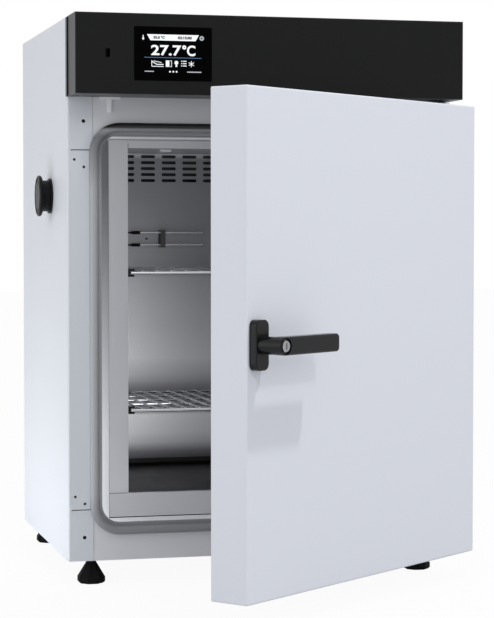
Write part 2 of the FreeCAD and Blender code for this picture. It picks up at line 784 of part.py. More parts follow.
def top_air_lip():
    """The strip across the top of the mouth, its lower edge turned back."""
    left = CHAMBER_X + STRIP_SEAM
    right = BODY_W - left
    face = block(left, STRIP_Y, AIR_LIP_Z, right, STRIP_Y + STRIP_T, MOUTH_TOP - STRIP_SEAM)
    turned_edge = block(left, STRIP_Y + STRIP_T, AIR_LIP_Z, right, STRIP_Y + AIR_LIP_DEEP,
                        AIR_LIP_Z + STRIP_T)
    return face.fuse(turned_edge).removeSplitter()


# Chamber

def liner_outside():
    return block(CHAMBER_X - LINER, LINER_FRONT, CHAMBER_FLOOR - LINER, BODY_W - CHAMBER_X + LINER,
                 CHAMBER_BACK + LINER, CHAMBER_TOP + LINER)


def heater_leg_places():
    """Where the ring heater's two ends turn back, low on the ring."""
    z = FAN_Z - math.sqrt(HEATER_R ** 2 - HEATER_LEG ** 2)
    return [(FAN_X - HEATER_LEG, z), (FAN_X + HEATER_LEG, z)]


def chamber_liner():
    """The steel box, with a flange round its mouth and holes for the port, the fan and the heater."""
    flange = block(MOUTH_X - SHEET, LINER_FRONT, MOUTH_BOTTOM - SHEET, BODY_W - MOUTH_X + SHEET,
                   LINER_FRONT + LINER, MOUTH_TOP + SHEET)
    inside = block(CHAMBER_X, LINER_FRONT - 1, CHAMBER_FLOOR, BODY_W - CHAMBER_X, CHAMBER_BACK,
                   CHAMBER_TOP)
    cutters = [rod(vec(CHAMBER_X - 5, PORT_Y, PORT_Z), vec(CHAMBER_X + 5, PORT_Y, PORT_Z), PORT_TUBE_R),
               rod(vec(FAN_X, CHAMBER_BACK - 1, FAN_Z), vec(FAN_X, CHAMBER_BACK + 5, FAN_Z),
                   SHAFT_R + HOLE_GAP)]
    for x, z in heater_leg_places():
        cutters.append(rod(vec(x, CHAMBER_BACK - 1, z), vec(x, CHAMBER_BACK + 5, z), HEATER_TUBE_R))
    return liner_outside().fuse(flange).cut([inside] + cutters).removeSplitter()


def rear_baffle():
    """A pressed sheet in front of the fan, folded back at both sides, with rows of slots."""
    left = CHAMBER_X
    right = BODY_W - CHAMBER_X
    low = CHAMBER_FLOOR + BAFFLE_GAP
    sheet = block(left, BAFFLE_Y, low, right, BAFFLE_Y + BAFFLE_T, CHAMBER_TOP)
    fold = block(left, BAFFLE_Y + BAFFLE_T, low, left + BAFFLE_T, CHAMBER_BACK, CHAMBER_TOP)
    slots = []
    for row in range(SLOT_ROWS):
        for column in range(SLOT_COLUMNS):
            x = MIDDLE + SLOT_SHIFT + (column - (SLOT_COLUMNS - 1) / 2) * SLOT_PITCH_X
            z = SLOT_TOP_Z - row * SLOT_PITCH_Z
            slots.append(slot_cutter(x, BAFFLE_Y - 1, z, SLOT_W, SLOT_H, BAFFLE_T + 2))
    z = sum(PROBE_Z) / 2
    slots.append(rod(vec(BAFFLE_SCREW_X, BAFFLE_Y - 1, z),
                     vec(BAFFLE_SCREW_X, BAFFLE_Y + 2 * BAFFLE_T, z), BAFFLE_SCREW_R))
    return sheet.fuse([fold, mirrored(fold)]).cut(slots).removeSplitter()


def ceiling_clip():
    return rounded_block(CEILING_CLIP_X, CEILING_CLIP_Y, CHAMBER_TOP - CEILING_CLIP_T,
                         CEILING_CLIP_X + CEILING_CLIP_W, CEILING_CLIP_Y + CEILING_CLIP_L, CHAMBER_TOP,
                         CEILING_CLIP_R, UP)


def probe(z):
    """A thin steel rod with a round tip."""
    end = PROBE_X + PROBE_L - PROBE_R
    stem = rod(vec(PROBE_X, PROBE_Y, z), vec(end, PROBE_Y, z), PROBE_R)
    return stem.fuse(Part.makeSphere(PROBE_R, vec(end, PROBE_Y, z)))


def probe_boot(z):
    """The black boot on a probe's end and the lead that bends back into the baffle."""
    start = PROBE_X - BOOT_L - BOOT_TAPER
    boot = turned([(0, 0), (0, BOOT_R - BOOT_LIP), (BOOT_TAPER, BOOT_R), (BOOT_L, BOOT_R),
                   (BOOT_L + BOOT_TAPER, PROBE_R + BOOT_LIP), (BOOT_L + BOOT_TAPER, 0)],
                  vec(start, PROBE_Y, z), RIGHT)
    bend_x = start - LEAD_RUN
    straight = rod(vec(bend_x, PROBE_Y, z), vec(start + LEAD_RUN, PROBE_Y, z), LEAD_R)
    bend = Part.makeTorus(LEAD_BEND, LEAD_R, vec(0, 0, 0), UP, -180, 180, 90)
    bend.translate(vec(bend_x, PROBE_Y + LEAD_BEND, z))
    bend.rotate(vec(bend_x, PROBE_Y + LEAD_BEND, z), UP, 180)
    back = rod(vec(bend_x - LEAD_BEND, PROBE_Y + LEAD_BEND, z),
               vec(bend_x - LEAD_BEND, BAFFLE_Y, z), LEAD_R)
    return boot.fuse([straight, bend, back]).removeSplitter()


def probe_clip():
    """A strip folded to a channel on the baffle; both probes pass through its side."""
    low = PROBE_Z[1] - PROBE_CLIP_OVER
    high = PROBE_Z[0] + PROBE_CLIP_OVER
    right = PROBE_CLIP_X + PROBE_CLIP_W
    front = PROBE_Y - PROBE_CLIP_OUT
    base = block(PROBE_CLIP_X, BAFFLE_Y - PROBE_CLIP_T, low, right, BAFFLE_Y, high)
    arm = block(right - PROBE_CLIP_T, front, low, right, BAFFLE_Y, high)
    lip = block(PROBE_CLIP_X, front, low, right, front + PROBE_CLIP_T, high)
    solid = base.fuse([arm, lip])
    for z in PROBE_Z:
        solid = solid.cut(rod(vec(PROBE_CLIP_X - 1, PROBE_Y, z), vec(right + 1, PROBE_Y, z), PROBE_R))
    return solid.removeSplitter()


def shelf_clip(z, y):
    """A hooked clip on the left wall; the shelf's side rod slides in its mouth."""
    wall = CHAMBER_X
    rod_x = CHAMBER_X + SHELF_SIDE
    half = FRAME_R + CLIP_GAP
    web = rod_x - half
    tip = rod_x + CLIP_JAW
    points = [(wall, z - half - CLIP_WALL), (tip, z - half - CLIP_WALL), (tip, z - half), (web, z - half),
              (web, z + half), (tip, z + half), (tip, z + half + CLIP_WALL), (wall, z + half + CLIP_WALL)]
    return side_outline(points, y, CLIP_L)


def shelf_clips():
    clips = []
    for z in SHELF_Z:
        for y in CLIP_YS:
            left = shelf_clip(z, y)
            clips += [left, mirrored(left)]
    return Part.makeCompound(clips)


def shelf():
    """A welded wire shelf lying at height zero: frame, cross wires and closely set depth wires."""
    left = CHAMBER_X + SHELF_SIDE
    right = BODY_W - left
    cross_z = WIRE_R - FRAME_R
    depth_z = cross_z + 2 * WIRE_R - WELD
    pieces = []
    for y in (SHELF_FRONT, SHELF_BACK):
        pieces.append(rod(vec(left - FRAME_R, y, 0), vec(right + FRAME_R, y, 0), FRAME_R))
    for x in (left, right):
        pieces.append(rod(vec(x, SHELF_FRONT, 0), vec(x, SHELF_BACK, 0), FRAME_R - WELD))
    pitch = (SHELF_BACK - CROSS_BACK - SHELF_FRONT - CROSS_FRONT) / (CROSS_COUNT - 1)
    for step in range(CROSS_COUNT):
        y = SHELF_FRONT + CROSS_FRONT + step * pitch
        pieces.append(rod(vec(left, y, cross_z), vec(right, y, cross_z), WIRE_R))
    pitch = (right - left - 2 * WIRE_END) / (WIRE_COUNT - 1)
    for step in range(WIRE_COUNT):
        x = left + WIRE_END + step * pitch
        pieces.append(rod(vec(x, SHELF_FRONT, depth_z), vec(x, SHELF_BACK, depth_z), WIRE_R))
    return pieces[0].fuse(pieces[1:])


# Side port

def port_tube():
    tube = rod(vec(0, PORT_Y, PORT_Z), vec(CHAMBER_X, PORT_Y, PORT_Z), PORT_TUBE_R)
    return tube.cut(rod(vec(-1, PORT_Y, PORT_Z), vec(CHAMBER_X + 1, PORT_Y, PORT_Z), PORT_BORE_R))


def port_flange():
    ring = rod(vec(-PORT_FLANGE_T, PORT_Y, PORT_Z), vec(0, PORT_Y, PORT_Z), PORT_FLANGE_R)
    rim = [edge for edge in ring.Edges if abs(edge.BoundBox.XMax + PORT_FLANGE_T) < 0.01]
    ring = ring.makeFillet(FLANGE_EDGE, rim)
    return ring.cut(rod(vec(-2 * PORT_FLANGE_T, PORT_Y, PORT_Z), vec(1, PORT_Y, PORT_Z), PORT_BORE_R))


def port_plug():
    """A stopper with a neck and a broad knob, pulled out to the left."""
    seat = PORT_FLANGE_T + HOLE_GAP
    stem = PORT_BORE_R - RUN_GAP
    far = CHAMBER_X
    groove = KNOB_GROOVE_R + KNOB_GROOVE_W
    profile = [(0, 0), (0, KNOB_GROOVE_R), (KNOB_GROOVE_DEEP, KNOB_GROOVE_R + 1),
               (KNOB_GROOVE_DEEP, groove - 1), (0, groove), (0, KNOB_R - KNOB_EDGE), (KNOB_EDGE, KNOB_R),
               (KNOB_T - KNOB_EDGE, KNOB_R), (KNOB_T, KNOB_R - KNOB_EDGE), (KNOB_T, KNOB_NECK_R),
               (KNOB_OUT - seat, KNOB_NECK_R), (KNOB_OUT - seat, stem), (KNOB_OUT + far - PLUG_EDGE, stem),
               (KNOB_OUT + far, stem - PLUG_EDGE), (KNOB_OUT + far, 0)]
    return turned(profile, vec(-KNOB_OUT, PORT_Y, PORT_Z), RIGHT)


# Fan, motor and heater

def fan_wheel():
    """Back plate, hub and leaning blades of a radial fan, seen from the chamber."""
    plate_y = FAN_Y + FAN_W - FAN_PLATE
    plate = rod(vec(FAN_X, plate_y, FAN_Z), vec(FAN_X, FAN_Y + FAN_W, FAN_Z), FAN_R)
    hub = rod(vec(FAN_X, FAN_Y, FAN_Z), vec(FAN_X, FAN_Y + FAN_W, FAN_Z), HUB_R)
    blades = []
    for step in range(BLADE_COUNT):
        blade = block(-BLADE_T / 2, FAN_Y, BLADE_INNER, BLADE_T / 2, plate_y + FAN_PLATE / 2,
                      FAN_R - BLADE_EDGE)
        blade.rotate(vec(0, 0, BLADE_INNER), BACK, BLADE_LEAN)
        blade.translate(vec(FAN_X, 0, FAN_Z))
        blade.rotate(vec(FAN_X, 0, FAN_Z), BACK, step * 360 / BLADE_COUNT)
        blades.append(blade)
    solid = plate.fuse([hub] + blades)
    return solid.cut(rod(vec(FAN_X, FAN_Y - 1, FAN_Z), vec(FAN_X, FAN_Y + FAN_W + 1, FAN_Z), SHAFT_R))


def fan_shaft():
    return rod(vec(FAN_X, FAN_Y, FAN_Z), vec(FAN_X, CHAMBER_BACK + LINER + SHAFT_IN, FAN_Z), SHAFT_R)


def fan_motor():
    y0 = CHAMBER_BACK + LINER
    body = rod(vec(FAN_X, y0, FAN_Z), vec(FAN_X, y0 + MOTOR_L, FAN_Z), MOTOR_R)
    cap = rod(vec(FAN_X, y0 + MOTOR_L, FAN_Z), vec(FAN_X, y0 + MOTOR_L + MOTOR_CAP, FAN_Z), MOTOR_CAP_R)
    bore = rod(vec(FAN_X, y0 - 1, FAN_Z), vec(FAN_X, y0 + SHAFT_IN + HOLE_GAP, FAN_Z), SHAFT_R + RUN_GAP)
    return body.fuse(cap).cut(bore)


def heater_element():
    """A ring heater round the fan, both ends led back through the liner."""
    gap = math.degrees(math.asin(HEATER_LEG / HEATER_R))
    ring = Part.makeTorus(HEATER_R, HEATER_TUBE_R, vec(0, 0, 0), UP, -180, 180, 360 - 2 * gap)
    ring.rotate(vec(0, 0, 0), UP, gap - 90)
    ring.rotate(vec(0, 0, 0), RIGHT, 90)
    ring.translate(vec(FAN_X, HEATER_Y, FAN_Z))
    pieces = []
    for x, z in heater_leg_places():
        pieces.append(Part.makeSphere(HEATER_TUBE_R, vec(x, HEATER_Y, z)))
        pieces.append(rod(vec(x, HEATER_Y, z), vec(x, CHAMBER_BACK + LINER + HEATER_END, z), HEATER_TUBE_R))
    return ring.fuse(pieces)


# Insulation and electronics

def insulation():
    """One jacket round the liner, hollowed for everything that passes through it."""
    rear = BODY_D - 2 * SHEET
    jacket = block(SHEET, POST_RETURN, LIP, BODY_W - SHEET, rear, DECK_Z)
    cutters = [liner_outside()]
    cutters.append(rod(vec(0, PORT_Y, PORT_Z), vec(CHAMBER_X, PORT_Y, PORT_Z), PORT_TUBE_R))
    cutters.append(rod(vec(FAN_X, CHAMBER_BACK, FAN_Z), vec(FAN_X, rear + 1, FAN_Z), MOTOR_R))
    for x, z in heater_leg_places():
        end = CHAMBER_BACK + LINER + HEATER_END + HEATER_ROOM
        cutters.append(rod(vec(x, CHAMBER_BACK, z), vec(x, end, z), HEATER_TUBE_R + HEATER_ROOM))
    cutters.append(block(INLET_X - INLET_WALL, BODY_D - 1.5 * INLET_DEEP, INLET_Z - INLET_WALL,
                         INLET_X + INLET_W + INLET_WALL, BODY_D, INLET_Z + INLET_H + INLET_WALL))
    return jacket.cut(cutters)


def service_deck():
    return block(SHEET, POST_RETURN, DECK_Z, BODY_W - SHEET, BODY_D - 2 * SHEET, DECK_Z + SHEET)


def power_supply():
    """A boxed supply on the deck with a terminal strip along its front."""
    z0 = DECK_Z + SHEET
    top = z0 + SUPPLY_H
    right = SUPPLY_X + SUPPLY_W
    body = rounded_block(SUPPLY_X, SUPPLY_Y, z0, right, SUPPLY_Y + SUPPLY_L, top, SUPPLY_CORNER, UP)
    strip = block(SUPPLY_X + TERMINAL_IN, SUPPLY_Y - TERMINAL_L, z0, right - TERMINAL_IN, SUPPLY_Y,
                  z0 + TERMINAL_H)
    first = (SUPPLY_X + right - (VENT_COUNT - 1) * VENT_PITCH - VENT_W) / 2
    grooves = []
    for step in range(VENT_COUNT):
        x = first + step * VENT_PITCH
        grooves.append(block(x, SUPPLY_Y + VENT_IN, top - VENT_DEEP, x + VENT_W,
                             SUPPLY_Y + SUPPLY_L - VENT_IN, top + 1))
    return body.fuse(strip).cut(grooves).removeSplitter()


# Feet

def foot_ring(radius, z):
    """One level outline of the foot's faceted body."""
    points = []
    for side in range(FOOT_SIDES):
        angle = 2 * math.pi * (side + 0.5) / FOOT_SIDES
        points.append(vec(radius * math.cos(angle), radius * math.sin(angle), z))
    return Part.makePolygon(points + [points[0]])


def foot(x, y):
    """A levelling foot: threaded stud and a faceted black body that widens to a flat pad."""
    levels = [(FOOT_FLAT_R, -FOOT_H), (FOOT_RIM_R, -FOOT_H + FOOT_RIM_LOW),
              (FOOT_RIM_R, -FOOT_H + FOOT_RIM_H), (FOOT_NECK_R, -FOOT_NECK_GAP)]
    rings = [foot_ring(radius, z) for radius, z in levels]
    body = Part.makeLoft(rings, True, True)
    stud = turned([(-FOOT_RIM_H, 0), (-FOOT_RIM_H, FOOT_STUD_R), (STUD_TOP - STUD_EDGE, FOOT_STUD_R),
                   (STUD_TOP, FOOT_STUD_R - STUD_EDGE), (STUD_TOP, 0)], vec(0, 0, 0), UP)
    solid = body.fuse(stud)
    solid.translate(vec(x, y, 0))
    return solid


# Hinges

def hinge_bracket(upper):
    """A plate screwed to the right post, hooked in its slot, with an arm out to the hinge axis."""
    right = BODY_W - BRACKET_IN
    left = right - BRACKET_W
    if upper:
        arm_z = DOOR_TOP + ARM_TOP_GAP
        low, high = arm_z + ARM_T - BRACKET_H, arm_z + ARM_T
        slot = SLOT_TOP
        hole_z = HINGE_HOLE_ZS[1]
    else:
        arm_z = DOOR_Z - ARM_LOW_GAP - ARM_T
        low, high = arm_z, arm_z + BRACKET_H
        slot = SLOT_LOW
        hole_z = HINGE_HOLE_ZS[0]
    plate = rounded_block(left, -ARM_T, low, right, 0, high, BRACKET_CORNER, BACK)
    corner = block(left, -ARM_T, arm_z, right, 0, arm_z + ARM_T)
    arm = block(HINGE_X - ARM_R, HINGE_Y, arm_z, HINGE_X + ARM_R, 0, arm_z + ARM_T)
    nose = rod(vec(HINGE_X, HINGE_Y, arm_z), vec(HINGE_X, HINGE_Y, arm_z + ARM_T), ARM_R)
    tongue = block(left + TONGUE_IN, -1, slot[0] + HOLE_GAP, left + TONGUE_IN + TONGUE_W, TONGUE_DEEP,
                   slot[1] - HOLE_GAP)
    solid = plate.fuse([corner, arm, nose, tongue])
    hole_x = BODY_W - HINGE_HOLE_X
    solid = solid.cut(rod(vec(hole_x, -2 * ARM_T, hole_z), vec(hole_x, 1, hole_z), HINGE_HOLE_R))
    pin_bore = rod(vec(HINGE_X, HINGE_Y, arm_z - 1), vec(HINGE_X, HINGE_Y, arm_z + 2 * ARM_T), PIN_R)
    return solid.cut(pin_bore).removeSplitter()


def hinge_pins():
    """Two pins fixed in the arms and reaching into the door's bushes."""
    upper = DOOR_TOP + ARM_TOP_GAP + ARM_T
    lower = DOOR_Z - ARM_LOW_GAP - ARM_T
    return Part.makeCompound([
        rod(vec(HINGE_X, HINGE_Y, upper - PIN_L), vec(HINGE_X, HINGE_Y, upper), PIN_R),
        rod(vec(HINGE_X, HINGE_Y, lower), vec(HINGE_X, HINGE_Y, lower + PIN_L), PIN_R)])


def hinge_screws():
    out = []
    for z in HINGE_HOLE_ZS:
        out.append(screw(vec(BODY_W - HINGE_HOLE_X, -ARM_T, z), BACK, HINGE_HOLE_R, HINGE_SCREW_L,
                         HINGE_SCREW_HEAD_R, HINGE_SCREW_HEAD_T))
    return Part.makeCompound(out)


# Door, drawn closed

def door_edges(body, y):
    """The edges round the door's front face and down its four long corners."""
    front = [edge for edge in body.Edges
             if all(abs(point.Point.y - y) < 0.01 for point in edge.Vertexes)]
    return front + edges_along(body, BACK)


def door_outer_skin():
    """A deep folded pan with rounded edges, open at the back."""
    right = DOOR_X + DOOR_W
    body = block(DOOR_X, DOOR_FRONT, DOOR_Z, right, DOOR_BACK, DOOR_TOP)
    body = body.makeFillet(DOOR_EDGE_R, door_edges(body, DOOR_FRONT))
    inside = block(DOOR_X + DOOR_SHEET, DOOR_FRONT + DOOR_SHEET, DOOR_Z + DOOR_SHEET, right - DOOR_SHEET,
                   DOOR_BACK + 5, DOOR_TOP - DOOR_SHEET)
    inside = inside.makeFillet(DOOR_EDGE_R - DOOR_SHEET, door_edges(inside, DOOR_FRONT + DOOR_SHEET))
    hole = rod(vec(SPINDLE_X, DOOR_FRONT - 1, SPINDLE_Z), vec(SPINDLE_X, DOOR_FRONT + 3, SPINDLE_Z),
               SPINDLE_R + HOLE_GAP)
    axis = rod(vec(HINGE_X, HINGE_Y, DOOR_Z - 9), vec(HINGE_X, HINGE_Y, DOOR_TOP + 9), BUSH_R)
    return body.cut([inside, hole, axis])


def door_inner_panel():
    """The steel sheet that closes the pan, with a raised land that meets the seal."""
    left = DOOR_X + DOOR_SHEET
    right = DOOR_X + DOOR_W - DOOR_SHEET
    low = DOOR_Z + DOOR_SHEET
    high = DOOR_TOP - DOOR_SHEET
    step = DOOR_EDGE_R - DOOR_SHEET
    land_y = -SEAL_PROUD - SEAL_GAP
    sheet = rounded_block(left, DOOR_BACK - DOOR_SHEET, low, right, DOOR_BACK, high, step, BACK)
    x0, x1 = DOOR_X + LAND_INSET, DOOR_X + DOOR_W - LAND_INSET
    z0, z1 = DOOR_Z + LAND_INSET, DOOR_TOP - LAND_INSET
    land = rounded_block(x0, DOOR_BACK - DOOR_SHEET, z0, x1, land_y, z1, LAND_R, BACK)
    hollow = rounded_block(x0 + DOOR_SHEET, DOOR_BACK - 2 * DOOR_SHEET, z0 + DOOR_SHEET, x1 - DOOR_SHEET,
                           land_y - DOOR_SHEET, z1 - DOOR_SHEET, LAND_R - DOOR_SHEET, BACK)
    return sheet.fuse(land).cut(hollow).removeSplitter()


def door_insulation():
    step = DOOR_EDGE_R - DOOR_SHEET
    body = rounded_block(DOOR_X + DOOR_SHEET, DOOR_FRONT + DOOR_SHEET + step, DOOR_Z + DOOR_SHEET,
                         DOOR_X + DOOR_W - DOOR_SHEET, DOOR_BACK - DOOR_SHEET, DOOR_TOP - DOOR_SHEET,
                         step, BACK)
    axis = rod(vec(HINGE_X, HINGE_Y, DOOR_Z), vec(HINGE_X, HINGE_Y, DOOR_TOP), BUSH_R)
    return body.cut([axis, case_block(-CASE_ROOM)])


def door_bushes():
    """Flanged bushes in the door's top and bottom edges."""
    out = []
    for z, way in ((DOOR_TOP, -1), (DOOR_Z, 1)):
        inner = vec(HINGE_X, HINGE_Y, z + way * BUSH_L)
        flange_end = vec(HINGE_X, HINGE_Y, z - way * BUSH_FLANGE_T)
        body = rod(inner, vec(HINGE_X, HINGE_Y, z), BUSH_R)
        body = body.fuse(rod(vec(HINGE_X, HINGE_Y, z), flange_end, BUSH_FLANGE_R))
        out.append(body.cut(rod(vec(HINGE_X, HINGE_Y, z + way * (BUSH_L - BUSH_END)),
                                vec(HINGE_X, HINGE_Y, z - way * 2 * BUSH_FLANGE_T), PIN_R + RUN_GAP)))
    return Part.makeCompound(out)


def handle_base():
    """The tall rounded plate that the handle turns on."""
    x0 = SPINDLE_X - BASE_W / 2
    z0 = SPINDLE_Z - BASE_H / 2
    body = rounded_block(x0, DOOR_FRONT - BASE_T, z0, x0 + BASE_W, DOOR_FRONT, z0 + BASE_H,
                         BASE_ROUND, BACK)
    front = [edge for edge in body.Edges
             if all(abs(point.Point.y - DOOR_FRONT + BASE_T) < 0.01 for point in edge.Vertexes)]
    body = body.makeFillet(BASE_SOFT, front)
    return body.cut(rod(vec(SPINDLE_X, DOOR_FRONT - 2 * BASE_T, SPINDLE_Z),
                        vec(SPINDLE_X, DOOR_FRONT + 1, SPINDLE_Z), SPINDLE_R + RUN_GAP))


def case_block(inset):
    """The lock case's outside, made smaller all round by one amount."""
    left = DOOR_X + DOOR_SHEET + CASE_IN
    front = DOOR_FRONT + DOOR_SHEET
    low = SPINDLE_Z - CASE_H / 2
    return block(left + inset, front + inset, low + inset, left + CASE_W - inset, front + CASE_T - inset,
                 low + CASE_H - inset)


def lock_case():
    """The steel case inside the door that holds the cam."""
    front = DOOR_FRONT + DOOR_SHEET
    bore = rod(vec(SPINDLE_X, front - 1, SPINDLE_Z), vec(SPINDLE_X, front + 2 * CASE_WALL, SPINDLE_Z),
               SPINDLE_R + RUN_GAP)
    return case_block(0).cut([case_block(CASE_WALL), bore])


def spindle_end():
    """How far back the spindle and its cam reach inside the lock case."""
    return DOOR_FRONT + DOOR_SHEET + CASE_T - CAM_BACK


def lock_cam():
    """A finger on the spindle's end, inside the lock case."""
    back = spindle_end()
    front = back - CAM_T
    boss = rod(vec(SPINDLE_X, front, SPINDLE_Z), vec(SPINDLE_X, back, SPINDLE_Z), SPINDLE_R + CAM_WALL)
    finger = block(SPINDLE_X - CAM_W / 2, front, SPINDLE_Z, SPINDLE_X + CAM_W / 2, back,
                   SPINDLE_Z + CAM_REACH)
    bore = rod(vec(SPINDLE_X, front - 1, SPINDLE_Z), vec(SPINDLE_X, back + 1, SPINDLE_Z), SPINDLE_R)
    return boss.fuse(finger).cut(bore).removeSplitter()


def lever_spindle():
    return rod(vec(SPINDLE_X, DOOR_FRONT - BASE_T - SPINDLE_GRIP, SPINDLE_Z),
               vec(SPINDLE_X, spindle_end(), SPINDLE_Z), SPINDLE_R)


def door_lever():
    """Round neck and a flat bar with soft edges; the key cylinder's recess is over the neck."""
    front = DOOR_FRONT - LEVER_OUT
    back = front + LEVER_T
    half = LEVER_H / 2
    bar = block(SPINDLE_X - half, front, SPINDLE_Z - half, SPINDLE_X + LEVER_TIP, back, SPINDLE_Z + half)
    near = [edge for edge in edges_along(bar, BACK) if edge.Vertexes[0].Point.x < SPINDLE_X]
    bar = bar.makeFillet(half - 0.1, near)
    far = [edge for edge in edges_along(bar, BACK)
           if abs(edge.Vertexes[0].Point.x - SPINDLE_X - LEVER_TIP) < 0.01]
    bar = bar.makeFillet(LEVER_R, far)
    bar = bar.makeFillet(LEVER_SOFT, [edge for edge in bar.Edges
                                      if all(abs(point.Point.y - front) < 0.01 for point in edge.Vertexes)])
    neck = rod(vec(SPINDLE_X, back - 1, SPINDLE_Z),
               vec(SPINDLE_X, DOOR_FRONT - BASE_T - HOLE_GAP, SPINDLE_Z), NECK_R)
    recess = rod(vec(SPINDLE_X, front - 1, SPINDLE_Z), vec(SPINDLE_X, front + KEY_DEEP, SPINDLE_Z),
                 KEY_RECESS_R)
    key_bore = rod(vec(SPINDLE_X, front, SPINDLE_Z), vec(SPINDLE_X, back + 2, SPINDLE_Z), KEY_R + RUN_GAP)
    bore = rod(vec(SPINDLE_X, DOOR_FRONT - BASE_T - SPINDLE_GRIP, SPINDLE_Z),
               vec(SPINDLE_X, DOOR_FRONT, SPINDLE_Z), SPINDLE_R)
    return bar.fuse(neck).cut([recess, key_bore, bore]).removeSplitter()


def key_cylinder():
    """The lock's round plug with its key slot."""
    front = DOOR_FRONT - LEVER_OUT
    profile = [(0, 0), (0, KEY_R - KEY_EDGE), (KEY_EDGE, KEY_R), (KEY_L, KEY_R), (KEY_L, 0)]
    plug = turned(profile, vec(SPINDLE_X, front, SPINDLE_Z), BACK)
    slot = block(SPINDLE_X - KEY_SLOT_W / 2, front - 1, SPINDLE_Z - KEY_SLOT_H / 2,
                 SPINDLE_X + KEY_SLOT_W / 2, front + KEY_SLOT_DEEP, SPINDLE_Z + KEY_SLOT_H / 2)
    return plug.cut(slot)


# Placing and writing

DOOR_NODES = {
    "door_outer_skin": door_outer_skin,
    "door_inner_panel": door_inner_panel,
    "door_insulation": door_insulation,
    "door_bushes": door_bushes,
    "handle_base": handle_base,
    "lock_case": lock_case,
    "lock_cam": lock_cam,
    "lever_spindle": lever_spindle,
    "door_lever": door_lever,
    "key_cylinder": key_cylinder,
}

CABINET_NODES = {
    "left_side_panel": left_side_panel,
    "right_side_panel": right_side_panel,
    "top_cover": top_cover,
    "base_plate": base_plate,
    "top_front_rail": top_front_rail,
    "bottom_front_rail": bottom_front_rail,
    "rear_cover": rear_cover,
    "rear_screws": rear_screws,
    "mains_inlet": mains_inlet,
    "control_panel_shell": control_panel_shell,
    "display_glass": display_glass,
    "display_module": display_module,
    "controller_board": controller_board,
    "usb_socket": usb_socket,
    "door_sensor_tab": door_sensor_tab,
    "collar_ring": collar_ring,
    "cabinet_gasket": cabinet_gasket,
    "left_frame_strip": left_frame_strip,
    "right_frame_strip": right_frame_strip,
    "bottom_frame_strip": bottom_frame_strip,
    "top_air_lip": top_air_lip,
    "chamber_liner": chamber_liner,
    "rear_baffle": rear_baffle,
    "ceiling_clip": ceiling_clip,
    "probe_clip": probe_clip,
    "shelf_clips": shelf_clips,
    "port_tube": port_tube,
    "port_flange": port_flange,
    "port_plug": port_plug,
    "fan_wheel": fan_wheel,
    "fan_shaft": fan_shaft,
    "fan_motor": fan_motor,
    "heater_element": heater_element,
    "insulation": insulation,
    "service_deck": service_deck,
    "power_supply": power_supply,
    "hinge_pins": hinge_pins,
    "hinge_screws": hinge_screws,
}


def write(name, shape):
    """Move a piece so that zero is on the floor under the cabinet's middle, and write it."""
    placed = shape.copy()
    placed.translate(vec(-MIDDLE, -BODY_D / 2, FOOT_H))
    placed.exportStep("parts/" + name + ".step")


def main():
    os.makedirs("parts", exist_ok=True)
    for name, make in CABINET_NODES.items():
        write(name, make())
    write("upper_hinge_bracket", hinge_bracket(True))
    write("lower_hinge_bracket", hinge_bracket(False))
    for name, z in (("upper_probe", PROBE_Z[0]), ("lower_probe", PROBE_Z[1])):
        write(name, probe(z))
    write("probe_boots", Part.makeCompound([probe_boot(z) for z in PROBE_Z]))
    wires = shelf()
    for name, z in (("lower_shelf", SHELF_Z[0]), ("upper_shelf", SHELF_Z[1])):
        placed = wires.copy()
        placed.translate(vec(0, 0, z))
        write(name, placed)
    names = ("front_left_foot", "rear_left_foot", "front_right_foot", "rear_right_foot")
    for name, (x, y) in zip(names, foot_places()):
        write(name, foot(x, y))
    for name, make in DOOR_NODES.items():
        shape = make()
        shape.rotate(vec(HINGE_X, HINGE_Y, 0), UP, DOOR_OPEN_DEG)
        write(name, shape)


main()
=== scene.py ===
import math

import bpy
from mathutils import Euler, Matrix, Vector


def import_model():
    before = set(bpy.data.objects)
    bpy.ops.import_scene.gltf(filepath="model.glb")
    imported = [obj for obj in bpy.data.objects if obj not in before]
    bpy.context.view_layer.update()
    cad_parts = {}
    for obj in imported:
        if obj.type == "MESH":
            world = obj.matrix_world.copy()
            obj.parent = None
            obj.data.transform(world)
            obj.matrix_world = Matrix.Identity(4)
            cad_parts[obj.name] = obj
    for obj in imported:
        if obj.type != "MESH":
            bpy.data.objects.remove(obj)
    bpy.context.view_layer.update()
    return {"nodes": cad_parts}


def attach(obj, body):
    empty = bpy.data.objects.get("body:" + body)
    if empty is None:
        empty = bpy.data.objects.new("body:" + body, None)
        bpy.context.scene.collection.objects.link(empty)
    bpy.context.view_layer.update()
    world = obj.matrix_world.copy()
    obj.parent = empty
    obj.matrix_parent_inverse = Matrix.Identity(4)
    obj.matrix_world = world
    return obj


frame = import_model()

# Places are given in millimetres from the cabinet's front left bottom corner, as in the part's source
BODY_W = 590.0
BODY_D = 458.0
FOOT_H = 36.0
PANEL_FRONT = -76.2
DISPLAY_LIFT = 0.12
WORLD_LIGHT = 0.78
FLOOR_GLOW = 0.94
FLOOR_HALF = 14.0


def place(x, y, z):
    """Millimetres from the cabinet's corner to metres from the middle of the footprint on the floor."""
    return Vector(((x - BODY_W / 2) / 1000, (y - BODY_D / 2) / 1000, (z + FOOT_H) / 1000))


def linear(value):
    return value / 12.92 if value <= 0.04045 else ((value + 0.055) / 1.055) ** 2.4


def shade(red, green, blue):
    """A screen colour from 0 to 255 as linear light."""
    return (linear(red / 255), linear(green / 255), linear(blue / 255), 1.0)


# Materials

